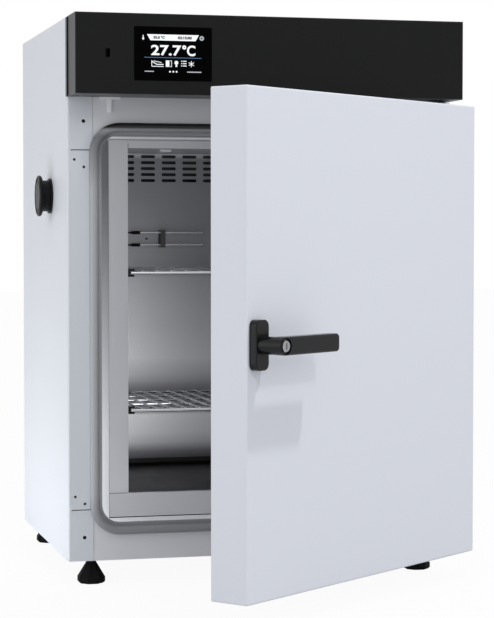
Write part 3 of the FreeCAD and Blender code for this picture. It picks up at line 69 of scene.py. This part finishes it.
def plain(name, colour, roughness, metallic=0.0, specular=0.5, coat=0.0):
    material = bpy.data.materials.new(name)
    material.use_nodes = True
    shader = material.node_tree.nodes["Principled BSDF"]
    shader.inputs["Base Color"].default_value = colour
    shader.inputs["Roughness"].default_value = roughness
    shader.inputs["Metallic"].default_value = metallic
    shader.inputs["Specular IOR Level"].default_value = specular
    shader.inputs["Coat Weight"].default_value = coat
    return material


def grain(material, scale, height, stretch=(1.0, 1.0, 1.0), rough=None):
    """Fine surface grain as a bump, with the roughness varied between two values if given."""
    tree = material.node_tree
    shader = tree.nodes["Principled BSDF"]
    where = tree.nodes.new("ShaderNodeTexCoord")
    squeeze = tree.nodes.new("ShaderNodeMapping")
    squeeze.inputs["Scale"].default_value = stretch
    noise = tree.nodes.new("ShaderNodeTexNoise")
    noise.inputs["Scale"].default_value = scale
    noise.inputs["Detail"].default_value = 3.0
    bump = tree.nodes.new("ShaderNodeBump")
    bump.inputs["Strength"].default_value = height
    bump.inputs["Distance"].default_value = 0.0002
    tree.links.new(where.outputs["Object"], squeeze.inputs["Vector"])
    tree.links.new(squeeze.outputs["Vector"], noise.inputs["Vector"])
    tree.links.new(noise.outputs["Fac"], bump.inputs["Height"])
    tree.links.new(bump.outputs["Normal"], shader.inputs["Normal"])
    if rough is not None:
        spread = tree.nodes.new("ShaderNodeMapRange")
        spread.inputs["To Min"].default_value = rough[0]
        spread.inputs["To Max"].default_value = rough[1]
        tree.links.new(noise.outputs["Fac"], spread.inputs["Value"])
        tree.links.new(spread.outputs["Result"], shader.inputs["Roughness"])
    return material


def brushed(name, colour, low, high, stretch, metallic=1.0):
    """Brushed steel, its fine lines drawn out along one direction."""
    return grain(plain(name, colour, 0.3, metallic), 40.0, 0.12, stretch, (low, high))


def place_colour(tree, axis, stops):
    """A colour that changes along one axis, from stops of a place in millimetres and a shade."""
    low = stops[0][0]
    high = stops[-1][0]
    index = "XYZ".index(axis)
    where = tree.nodes.new("ShaderNodeTexCoord")
    split = tree.nodes.new("ShaderNodeSeparateXYZ")
    spread = tree.nodes.new("ShaderNodeMapRange")
    spread.inputs["From Min"].default_value = place(low, low, low)[index]
    spread.inputs["From Max"].default_value = place(high, high, high)[index]
    ramp = tree.nodes.new("ShaderNodeValToRGB")
    ramp.color_ramp.elements[0].color = shade(*stops[0][1])
    ramp.color_ramp.elements[1].color = shade(*stops[-1][1])
    for spot, colour in stops[1:-1]:
        ramp.color_ramp.elements.new((spot - low) / (high - low)).color = shade(*colour)
    tree.links.new(where.outputs["Object"], split.inputs["Vector"])
    tree.links.new(split.outputs[axis], spread.inputs["Value"])
    tree.links.new(spread.outputs["Result"], ramp.inputs["Fac"])
    return ramp.outputs["Color"]


def along(material, axis, stops):
    """Let the material's colour change along one axis."""
    tree = material.node_tree
    tree.links.new(place_colour(tree, axis, stops), tree.nodes["Principled BSDF"].inputs["Base Color"])


def painted_shade_behind(material, stops):
    """Paint shade into the material's changing colour from front to back, from stops along Y."""
    tree = material.node_tree
    colour = tree.nodes["Principled BSDF"].inputs["Base Color"]
    mix = tree.nodes.new("ShaderNodeMix")
    mix.data_type = "RGBA"
    mix.blend_type = "MULTIPLY"
    mix.inputs["Factor"].default_value = 1.0
    tree.links.new(colour.links[0].from_socket, mix.inputs["A"])
    tree.links.new(place_colour(tree, "Y", stops), mix.inputs["B"])
    tree.links.new(mix.outputs["Result"], colour)


def glowing(name, colour, strength):
    material = plain(name, (0, 0, 0, 1), 0.5)
    shader = material.node_tree.nodes["Principled BSDF"]
    shader.inputs["Emission Color"].default_value = colour
    shader.inputs["Emission Strength"].default_value = strength
    return material


# How the fine lines of brushed steel are drawn out
DEPTH_LINES = (1.0, 1.0, 30.0)
SIDE_LINES = (30.0, 1.0, 1.0)

white_paint = grain(plain("white_paint", shade(218, 219, 224), 0.42, specular=0.4), 900.0, 0.10)
side_paint = grain(plain("side_paint", shade(214, 218, 225), 0.42, specular=0.4), 900.0, 0.10)
# The door's paint is the cabinet's white paint painted darker: painted shade that offsets the lamps
# lighting the door alone
door_paint = grain(plain("door_paint", shade(204, 207, 215), 0.42, specular=0.4), 900.0, 0.10)
# The sensor tab's paint is a lighter copy of the white paint: painted light where the panel above shades it
tab_paint = grain(plain("tab_paint", shade(250, 251, 253), 0.42), 900.0, 0.10)
dark_paint = grain(plain("dark_paint", shade(13, 14, 15), 0.34, specular=0.20), 900.0, 0.05)
# The panel's underside is painted mid grey: a painted reflection of the pale floor below
along(dark_paint, "Z", (
    (688.5, (56, 57, 60)),
    (689.5, (13, 14, 15)),
))
screen_black = plain("screen_black", shade(2, 2, 3), 0.12, specular=0.02)
stainless = brushed("stainless", shade(190, 191, 193), 0.30, 0.42, DEPTH_LINES, 0.85)
dull_steel = brushed("dull_steel", shade(76, 77, 80), 0.40, 0.50, SIDE_LINES, 0.8)
polished = plain("polished_steel", shade(248, 249, 251), 0.16, 0.85)
wire_steel = plain("wire_steel", shade(222, 223, 225), 0.09, 1.0)
# The shelves' front rods are painted near white and the wires behind them darker: a painted highlight at
# the front and painted shade inside the chamber
along(wire_steel, "Y", (
    (23.0, (246, 247, 250)),
    (27.0, (168, 169, 173)),
))
plated = grain(plain("plated_steel", shade(178, 180, 182), 0.36, 1.0), 300.0, 0.06)
chrome = plain("chrome", shade(176, 177, 180), 0.16, 1.0)
black_plastic = grain(plain("black_plastic", shade(17, 18, 19), 0.20, specular=0.25), 1200.0, 0.10)
knob_plastic = grain(plain("knob_plastic", shade(15, 16, 17), 0.36, specular=0.14), 1200.0, 0.20)
black_rubber = plain("black_rubber", shade(13, 13, 14), 0.7, specular=0.15)
green_board = plain("green_board", shade(30, 92, 52), 0.5)
aluminium = grain(plain("aluminium", shade(132, 133, 135), 0.4, 1.0), 300.0, 0.06)
# The USB socket is coloured near black: painted shade standing in for its dark opening
socket_black = grain(plain("socket_black", shade(5, 5, 6), 0.5, specular=0.05), 900.0, 0.05)
# The ceiling clip's steel is a lighter, less metallic copy of the stainless: a painted highlight where the
# clip would mirror the dark chamber
bright_steel = brushed("bright_steel", shade(246, 247, 250), 0.30, 0.42, DEPTH_LINES, 0.4)
wool = grain(plain("mineral_wool", shade(96, 95, 90), 0.95), 120.0, 0.6)
screen_white = glowing("screen_white", shade(250, 252, 255), 1.0)
screen_grey = glowing("screen_grey", shade(176, 184, 192), 1.0)
screen_blue = glowing("screen_blue", shade(70, 118, 160), 1.0)
screen_dark = glowing("screen_dark", shade(16, 20, 26), 1.0)

# Steel and rubber with light and shade painted along their height: painted reflections of the dark
# underside of what is above them and of the pale floor below

chamber_steel = brushed("chamber_steel", shade(140, 141, 143), 0.42, 0.55, DEPTH_LINES, 0.62)
# The chamber's walls are painted in bands along the height: painted shade at the floor and in the gap above
# it, painted shadows under the shelves, painted light and reflections between them
along(chamber_steel, "Z", (
    (95.5, (29, 30, 34)),
    (98.0, (135, 136, 140)),
    (106.0, (135, 136, 140)),
    (108.0, (95, 96, 100)),
    (118.0, (133, 134, 138)),
    (134.0, (217, 218, 222)),
    (150.0, (239, 240, 244)),
    (181.0, (245, 246, 250)),
    (186.0, (131, 132, 136)),
    (222.0, (131, 132, 136)),
    (249.0, (187, 188, 192)),
    (276.0, (207, 208, 212)),
    (330.0, (189, 190, 194)),
    (411.0, (175, 176, 180)),
    (426.0, (147, 148, 152)),
    (520.0, (151, 152, 156)),
    (611.0, (159, 160, 164)),
    (616.0, (205, 206, 210)),
    (620.0, (205, 206, 210)),
))
# The liner behind the rear baffle is painted darker: painted shade in the space behind the baffle, seen
# through its slots
painted_shade_behind(chamber_steel, ((388.8, (255, 255, 255)), (391.0, (118, 118, 118))))
strip_steel = brushed("strip_steel", shade(190, 191, 193), 0.30, 0.42, DEPTH_LINES, 0.85)
# The frame strips are painted lighter towards the bottom and darker at the top: a painted reflection of the
# pale floor and painted shade under the panel
along(strip_steel, "Z", (
    (60.0, (213, 214, 218)),
    (94.0, (217, 218, 222)),
    (110.0, (225, 226, 230)),
    (200.0, (218, 219, 223)),
    (440.0, (209, 210, 214)),
    (560.0, (201, 202, 206)),
    (640.0, (183, 184, 188)),
))
collar_steel = plain("collar_steel", shade(190, 191, 193), 0.16, 1.0)
# The collar is painted from near white at the bottom to dark grey at the top, a painted reflection of the
# floor and the panel's underside, with a painted highlight along its lip at 627 to 629.5 mm
along(collar_steel, "Z", (
    (45.0, (251, 252, 255)),
    (190.0, (245, 246, 250)),
    (300.0, (215, 216, 220)),
    (440.0, (161, 162, 166)),
    (560.0, (117, 118, 122)),
    (618.0, (107, 108, 112)),
    (625.5, (109, 110, 114)),
    (627.0, (249, 250, 254)),
    (629.5, (249, 250, 254)),
    (631.0, (119, 120, 124)),
    (640.0, (103, 104, 108)),
))
grey_rubber = grain(plain("grey_rubber", shade(150, 152, 155), 0.42), 500.0, 0.1)
# The gasket is painted lighter in the middle of its height and near black along its top run: painted shade
# and a painted reflection of the panel's dark underside, with a painted highlight at 638 mm
along(grey_rubber, "Z", (
    (38.8, (131, 133, 137)),
    (60.0, (141, 143, 147)),
    (100.0, (173, 175, 179)),
    (550.0, (171, 173, 177)),
    (600.0, (133, 135, 139)),
    (630.0, (113, 115, 119)),
    (638.0, (151, 153, 157)),
    (640.5, (141, 143, 147)),
    (642.5, (43, 45, 49)),
    (644.0, (17, 19, 23)),
    (650.3, (9, 11, 15)),
))

MATERIAL_NODES = (
    (side_paint, "left_side_panel right_side_panel top_cover base_plate rear_cover"),
    (white_paint, "top_front_rail bottom_front_rail"),
    (door_paint, "door_outer_skin"),
    (tab_paint, "door_sensor_tab"),
    (dark_paint, "control_panel_shell"),
    (screen_black, "display_glass"),
    (chamber_steel, "chamber_liner rear_baffle"),
    (strip_steel, "left_frame_strip right_frame_strip bottom_frame_strip top_air_lip"),
    (collar_steel, "collar_ring"),
    (stainless, "door_inner_panel port_tube"),
    (bright_steel, "ceiling_clip"),
    (dull_steel, "probe_clip heater_element"),
    (socket_black, "usb_socket"),
    (polished, "upper_probe lower_probe"),
    (wire_steel, "upper_shelf lower_shelf"),
    (plated, "upper_hinge_bracket lower_hinge_bracket hinge_pins hinge_screws rear_screws lock_case "
             "lock_cam lever_spindle service_deck power_supply fan_shaft door_bushes"),
    (chrome, "key_cylinder"),
    (black_plastic, "door_lever handle_base shelf_clips mains_inlet display_module"),
    (knob_plastic, "port_plug port_flange"),
    (black_rubber, "front_left_foot rear_left_foot front_right_foot rear_right_foot probe_boots"),
    (grey_rubber, "cabinet_gasket"),
    (green_board, "controller_board"),
    (aluminium, "fan_wheel fan_motor"),
    (wool, "insulation door_insulation"),
)


def finish_nodes():
    """Give every solid its material on the object, leaving the mesh as it is."""
    for material, names in MATERIAL_NODES:
        for name in names.split():
            for holder in frame["nodes"][name].material_slots:
                holder.link = "OBJECT"
                holder.material = material


# Flat pieces on the display

def flat_piece(name, polygons, material, layer=0):
    """Thin pieces standing just in front of the display glass, from outlines in x and z."""
    y = PANEL_FRONT - DISPLAY_LIFT * (layer + 1)
    points = []
    faces = []
    for polygon in polygons:
        faces.append(tuple(range(len(points), len(points) + len(polygon))))
        points += [place(x, y, z) for x, z in polygon]
    mesh = bpy.data.meshes.new(name)
    mesh.from_pydata(points, [], faces)
    mesh.materials.append(material)
    piece = bpy.data.objects.new(name, mesh)
    bpy.context.collection.objects.link(piece)
    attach(piece, "cabinet")


def bar(x0, z0, x1, z1):
    return [(x0, z0), (x1, z0), (x1, z1), (x0, z1)]


def stroke(x0, z0, x1, z1, width):
    """A straight line of some width between two points."""
    dx, dz = x1 - x0, z1 - z0
    length = math.hypot(dx, dz)
    nx, nz = -dz / length * width / 2, dx / length * width / 2
    return [(x0 + nx, z0 + nz), (x0 - nx, z0 - nz), (x1 - nx, z1 - nz), (x1 + nx, z1 + nz)]


def disc(x, z, radius, count=16):
    return [(x + radius * math.cos(2 * math.pi * k / count), z + radius * math.sin(2 * math.pi * k / count))
            for k in range(count)]


def lettering(name, text, x, z, height, width, material, bold, layer=0):
    """Text on the display: its left end at x, its foot at z, fitted to a height and a width."""
    curve = bpy.data.curves.new(name, "FONT")
    curve.body = text
    curve.offset = bold
    curve.resolution_u = 4
    holder = bpy.data.objects.new(name + "_shape", curve)
    bpy.context.collection.objects.link(holder)
    bpy.context.view_layer.update()
    graph = bpy.context.evaluated_depsgraph_get()
    mesh = bpy.data.meshes.new_from_object(holder.evaluated_get(graph))
    bpy.data.objects.remove(holder)
    low = Vector((min(v.co.x for v in mesh.vertices), min(v.co.y for v in mesh.vertices), 0))
    high = Vector((max(v.co.x for v in mesh.vertices), max(v.co.y for v in mesh.vertices), 0))
    y = PANEL_FRONT - DISPLAY_LIFT * (layer + 1)
    for vertex in mesh.vertices:
        across = x + (vertex.co.x - low.x) / (high.x - low.x) * width
        up = z + (vertex.co.y - low.y) / (high.y - low.y) * height
        vertex.co = place(across, y, up)
    mesh.materials.clear()
    mesh.materials.append(material)
    piece = bpy.data.objects.new(name, mesh)
    bpy.context.collection.objects.link(piece)
    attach(piece, "cabinet")


def display_picture():
    """The reading, the fields above it and the row of signs below it."""
    header = [(104.4, 774.8), (109.6, 766.0), (176.5, 766.0), (181.6, 774.8)]
    flat_piece("display_header", [header], screen_white)
    lettering("display_header_left", "35.0 °C", 114.0, 768.3, 4.2, 17.0, screen_dark, 0.06, 1)
    lettering("display_header_right", "02:15:00", 150.0, 768.3, 4.2, 21.0, screen_dark, 0.06, 1)
    lettering("display_reading", "27.7", 110.4, 744.4, 15.2, 45.0, screen_white, 0.025)
    lettering("display_degree", "°", 156.6, 753.6, 6.2, 6.0, screen_white, 0.04)
    lettering("display_unit", "C", 163.6, 744.2, 15.6, 12.6, screen_white, 0.025)
    flat_piece("display_rule", [stroke(100.6, 741.4, 185.3, 741.4, 0.8)], screen_blue)
    left_mark = [stroke(98.9, 768.0, 98.9, 773.4, 1.3), disc(98.9, 768.4, 1.6)]
    flat_piece("display_left_mark", left_mark, screen_white)
    cross = [bar(184.2, 769.8, 187.2, 770.8), bar(185.2, 768.7, 186.2, 771.9)]
    flat_piece("display_right_mark", [disc(185.7, 770.3, 3.4)], screen_grey)
    flat_piece("display_right_cross", cross, screen_dark, 1)
    ramp = [stroke(111.5, 728.6, 111.5, 737.3, 1.0), stroke(111.5, 728.6, 129.0, 728.6, 1.0)]
    ramp += [stroke(112.0, 735.5, 119.0, 731.5, 1.3), stroke(119.0, 731.5, 129.0, 731.5, 1.3)]
    ramp += [stroke(114.0, 736.5, 126.0, 734.2, 0.9)]
    flat_piece("display_ramp", ramp, screen_white)
    leaf = [bar(132.2, 728.2, 137.6, 737.4), bar(138.4, 728.2, 141.2, 729.0),
            bar(138.4, 736.6, 141.2, 737.4), bar(140.4, 728.2, 141.2, 737.4)]
    flat_piece("display_door", leaf, screen_white)
    bulb = [disc(147.9, 734.3, 2.9), bar(146.5, 728.4, 149.3, 731.2)]
    flat_piece("display_bulb", bulb, screen_white)
    rows = []
    for step in range(3):
        z = 729.2 + step * 3.4
        rows += [bar(155.0, z, 156.6, z + 1.3), bar(157.6, z, 163.0, z + 1.3)]
    flat_piece("display_list", rows, screen_white)
    for step in range(3):
        turn = math.pi * step / 3
        dx, dz = 4.4 * math.sin(turn), 4.4 * math.cos(turn)
        arm = stroke(170.1 - dx, 732.7 - dz, 170.1 + dx, 732.7 + dz, 1.0)
        flat_piece("display_flake_%d" % step, [arm], screen_white, step)
    low_bars = [bar(101.0, 720.6, 114.5, 722.0), bar(163.9, 720.4, 185.2, 721.9)]
    flat_piece("display_low_bars", low_bars, screen_grey)
    dots = [disc(x, 721.3, 1.3) for x in (138.4, 143.3, 148.2)]
    flat_piece("display_dots", dots, screen_white)


# Surroundings

def backdrop_material():
    """Pale floor that shows almost white to the camera and keeps the shadow."""
    material = plain("pale_floor", shade(236, 237, 239), 0.9, specular=0.1)
    tree = material.node_tree
    shader = tree.nodes["Principled BSDF"]
    out = tree.nodes["Material Output"]
    path = tree.nodes.new("ShaderNodeLightPath")
    glow = tree.nodes.new("ShaderNodeEmission")
    glow.inputs["Color"].default_value = (1, 1, 1, 1)
    glow.inputs["Strength"].default_value = 1.0
    part = tree.nodes.new("ShaderNodeMath")
    part.operation = "MULTIPLY"
    part.inputs[1].default_value = FLOOR_GLOW
    mix = tree.nodes.new("ShaderNodeMixShader")
    tree.links.new(path.outputs["Is Camera Ray"], part.inputs[0])
    tree.links.new(part.outputs[0], mix.inputs["Fac"])
    tree.links.new(shader.outputs["BSDF"], mix.inputs[1])
    tree.links.new(glow.outputs["Emission"], mix.inputs[2])
    tree.links.new(mix.outputs["Shader"], out.inputs["Surface"])
    return material


def floor():
    corners = [(-FLOOR_HALF, -FLOOR_HALF, 0), (FLOOR_HALF, -FLOOR_HALF, 0),
               (FLOOR_HALF, FLOOR_HALF, 0), (-FLOOR_HALF, FLOOR_HALF, 0)]
    mesh = bpy.data.meshes.new("floor")
    mesh.from_pydata(corners, [], [(0, 1, 2, 3)])
    mesh.materials.append(backdrop_material())
    piece = bpy.data.objects.new("floor", mesh)
    bpy.context.collection.objects.link(piece)


def world():
    """White to the camera, plain soft light for everything else."""
    surroundings = bpy.data.worlds.new("studio")
    bpy.context.scene.world = surroundings
    surroundings.use_nodes = True
    tree = surroundings.node_tree
    tree.nodes.clear()
    out = tree.nodes.new("ShaderNodeOutputWorld")
    path = tree.nodes.new("ShaderNodeLightPath")
    seen = tree.nodes.new("ShaderNodeBackground")
    seen.inputs["Color"].default_value = (1, 1, 1, 1)
    seen.inputs["Strength"].default_value = 1.0
    soft = tree.nodes.new("ShaderNodeBackground")
    soft.inputs["Color"].default_value = (1, 1, 1, 1)
    soft.inputs["Strength"].default_value = WORLD_LIGHT
    mix = tree.nodes.new("ShaderNodeMixShader")
    tree.links.new(path.outputs["Is Camera Ray"], mix.inputs["Fac"])
    tree.links.new(soft.outputs["Background"], mix.inputs[1])
    tree.links.new(seen.outputs["Background"], mix.inputs[2])
    tree.links.new(mix.outputs["Shader"], out.inputs["Surface"])


# The door's outside, which some lamps light alone and some leave out
DOOR_OUTSIDE = "door_outer_skin door_lever handle_base key_cylinder"


def choose_lit(holder, state):
    """INCLUDE lets the lamp light only the door's outside, EXCLUDE everything but that."""
    group = bpy.data.collections.new(holder.name + "_on_door")
    for name in DOOR_OUTSIDE.split():
        group.objects.link(frame["nodes"][name])
    for entry in group.collection_objects:
        entry.light_linking.link_state = state
    holder.light_linking.receiver_collection = group


def lamp(name, where, target, width, height, power, mirrored, door):
    light = bpy.data.lights.new(name, "AREA")
    light.shape = "RECTANGLE"
    light.size = width
    light.size_y = height
    light.energy = power
    holder = bpy.data.objects.new(name, light)
    holder.location = where
    holder.rotation_euler = (Vector(target) - Vector(where)).to_track_quat("-Z", "Y").to_euler()
    holder.visible_camera = False
    holder.visible_glossy = mirrored
    bpy.context.collection.objects.link(holder)
    if door:
        choose_lit(holder, door)


# Name, place, aimed at, width, height, power, whether shiny surfaces mirror it, and the door's part in it
LAMPS = (
    ("left_softbox", (-3.0, -0.9, 0.9), (0, 0, 0.35), 2.0, 2.2, 10.0, True, ""),
    ("low_softbox", (-0.66, 0.0, 0.03), (-0.295, 0.0, 0.05), 0.7, 0.06, 0.95, False, ""),
    ("top_softbox", (0.6, -1.4, 3.2), (0.1, -0.1, 0.3), 3.2, 3.2, 22.5, True, "EXCLUDE"),
    ("handle_softbox", (1.97, -1.81, 1.44), (-0.10, -0.65, 0.38), 0.32, 0.32, 8.5, False, "EXCLUDE"),
    ("upper_door_lamp", (1.46, -1.33, 4.22), (-0.10, -0.65, 0.38), 0.20, 0.20, 82.0, False, "INCLUDE"),
    ("lower_door_lamp", (1.15, -3.57, 3.13), (-0.10, -0.65, 0.38), 0.33, 0.33, 25.0, False, "INCLUDE"),
    ("edge_door_lamp", (-1.6, -1.9, 1.0), (-0.17, -0.61, 0.38), 0.5, 0.5, 4.6, True, "INCLUDE"),
    ("mouth_softbox", (-0.14, -0.13, 0.33), (-0.11, 0.16, 0.31), 0.08, 0.44, 0.34, True, ""),
)


def lights():
    for row in LAMPS:
        lamp(*row)


# The camera's place in millimetres and its turn and tilt in degrees
CAMERA_AT = (-486.4, -2965.0, 491.9)
CAMERA_TURN = 14.37
CAMERA_TILT = 2.23
LENS_MM = 118.2


def camera():
    """The photograph's own viewpoint, fitted to the cabinet's edges."""
    data = bpy.data.cameras.new("photo_camera")
    data.sensor_fit = "VERTICAL"
    data.sensor_height = 36.0
    data.sensor_width = 36.0
    data.lens = LENS_MM
    data.clip_end = 60.0
    holder = bpy.data.objects.new("photo_camera", data)
    holder.location = place(*CAMERA_AT)
    holder.rotation_euler = Euler((math.radians(90 - CAMERA_TILT), 0, math.radians(-CAMERA_TURN)), "XYZ")
    bpy.context.collection.objects.link(holder)
    bpy.context.scene.camera = holder


finish_nodes()
display_picture()
floor()
world()
lights()
camera()
bpy.context.scene.view_settings.view_transform = "Standard"
